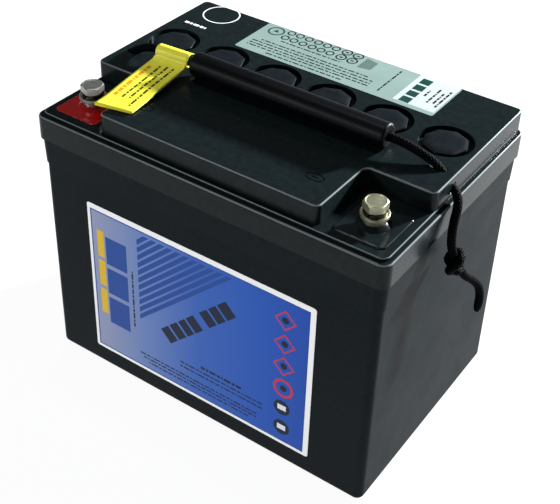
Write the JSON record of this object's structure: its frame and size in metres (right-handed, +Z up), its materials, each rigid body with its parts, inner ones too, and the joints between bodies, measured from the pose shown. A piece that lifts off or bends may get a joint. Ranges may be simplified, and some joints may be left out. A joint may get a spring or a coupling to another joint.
{
  "type": "deep cycle battery",
  "caption": "Sealed lead-acid block battery with recessed bolt terminals, round vent covers and a rope handle with a tube grip.",
  "frame": {"origin": "middle of the case's underside, on the surface that it stands on", "axes": "+X along the length towards the negative terminal, -Y towards the labelled front wall, +Z up"},
  "size_m": [0.2264, 0.132, 0.1687],
  "materials": {
    "case_black": "satin moulded ABS",
    "lid_black": "glossy moulded ABS",
    "positive_lead": "dark brown lead oxide paste on lead",
    "negative_lead": "grey lead",
    "glass_mat": "white glass fibre mat",
    "valve_rubber": "moulded rubber",
    "red_resin": "glossy red potting resin",
    "black_resin": "glossy black potting resin",
    "silver_plating": "zinc plated steel",
    "golden_plating": "slightly yellow zinc plated steel",
    "grip_black": "satin plastic tube",
    "rope_black": "braided synthetic cord",
    "tag_yellow": "coated yellow film",
    "label_blue": "printed glossy film",
    "label_mint": "printed satin film"
  },
  "bodies": {
    "battery": {"case": "case_black", "lid": "lid_black", "vent_cap_1": "lid_black", "positive_plates_1": "positive_lead", "negative_plates_1": "negative_lead", "separators_1": "glass_mat", "vent_cap_2": "lid_black", "positive_plates_2": "positive_lead", "negative_plates_2": "negative_lead", "separators_2": "glass_mat", "vent_cap_3": "lid_black", "positive_plates_3": "positive_lead", "negative_plates_3": "negative_lead", "separators_3": "glass_mat", "vent_cap_4": "lid_black", "positive_plates_4": "positive_lead", "negative_plates_4": "negative_lead", "separators_4": "glass_mat", "vent_cap_5": "lid_black", "positive_plates_5": "positive_lead", "negative_plates_5": "negative_lead", "separators_5": "glass_mat", "vent_cap_6": "lid_black", "positive_plates_6": "positive_lead", "negative_plates_6": "negative_lead", "separators_6": "glass_mat", "cell_connector_1": "negative_lead", "cell_connector_2": "negative_lead", "cell_connector_3": "negative_lead", "cell_connector_4": "negative_lead", "cell_connector_5": "negative_lead", "relief_valves": "valve_rubber", "post_o_rings": "valve_rubber", "positive_post": "negative_lead", "positive_seal": "red_resin", "negative_post": "negative_lead", "negative_seal": "black_resin", "rope_span_right": "rope_black", "rope_span_left": "rope_black", "front_label": "label_blue", "lid_label": "label_mint"},
    "handle": {"rope_core": "rope_black"},
    "grip_tube": {"grip": "grip_black"},
    "tag": {"tag": "tag_yellow"},
    "right_knot": {"rope_drop_right": "rope_black", "rope_knot_right": "rope_black", "rope_tail_right": "rope_black"},
    "left_knot": {"rope_drop_left": "rope_black", "rope_knot_left": "rope_black", "rope_tail_left": "rope_black"},
    "positive_washers": {"positive_flat_washer": "silver_plating", "positive_spring_washer": "silver_plating"},
    "positive_bolt": {"positive_bolt": "silver_plating"},
    "negative_washers": {"negative_flat_washer": "golden_plating", "negative_spring_washer": "golden_plating"},
    "negative_bolt": {"negative_bolt": "golden_plating"}
  },
  "joints": [
    {"name": "handle_lift", "type": "slide", "parent": "battery", "child": "handle", "axis": [0, 0, 1], "range_m": [0, 0.044], "deforming": ["rope_span_right", "rope_span_left"]},
    {"name": "grip_turn", "type": "hinge", "parent": "handle", "child": "grip_tube", "pos_m": [0.00675, -0.005, 0.1626], "axis": [1, 0, 0], "continuous": true},
    {"name": "tag_swing", "type": "hinge", "parent": "handle", "child": "tag", "pos_m": [-0.06, -0.005, 0.1629], "axis": [-1, 0, 0], "range_deg": [0, 170]},
    {"name": "right_knot_rise", "type": "slide", "parent": "battery", "child": "right_knot", "axis": [0, 0, 1], "range_m": [0, 0.028], "deforming": ["rope_drop_right"]},
    {"name": "left_knot_rise", "type": "slide", "parent": "battery", "child": "left_knot", "axis": [0, 0, 1], "range_m": [0, 0.028], "deforming": ["rope_drop_left"]},
    {"name": "positive_bolt_rise", "type": "slide", "parent": "battery", "child": "positive_washers", "axis": [0, 0, 1], "range_m": [0, 0.0101]},
    {"name": "positive_bolt_turn", "type": "hinge", "parent": "positive_washers", "child": "positive_bolt", "pos_m": [-0.0785, -0.045, 0.151], "axis": [0, 0, 1], "range_deg": [0, 3600]},
    {"name": "negative_bolt_rise", "type": "slide", "parent": "battery", "child": "negative_washers", "axis": [0, 0, 1], "range_m": [0, 0.0101]},
    {"name": "negative_bolt_turn", "type": "hinge", "parent": "negative_washers", "child": "negative_bolt", "pos_m": [0.0785, -0.045, 0.151], "axis": [0, 0, 1], "range_deg": [0, 3600]}
  ],
  "couplings": [
    {"joint": "right_knot_rise", "follows": "handle_lift", "ratio": 0.63636},
    {"joint": "left_knot_rise", "follows": "handle_lift", "ratio": 0.63636},
    {"joint": "positive_bolt_rise", "follows": "positive_bolt_turn", "m_per_rad": 0.00015915},
    {"joint": "negative_bolt_rise", "follows": "negative_bolt_turn", "m_per_rad": 0.00015915}
  ]
}
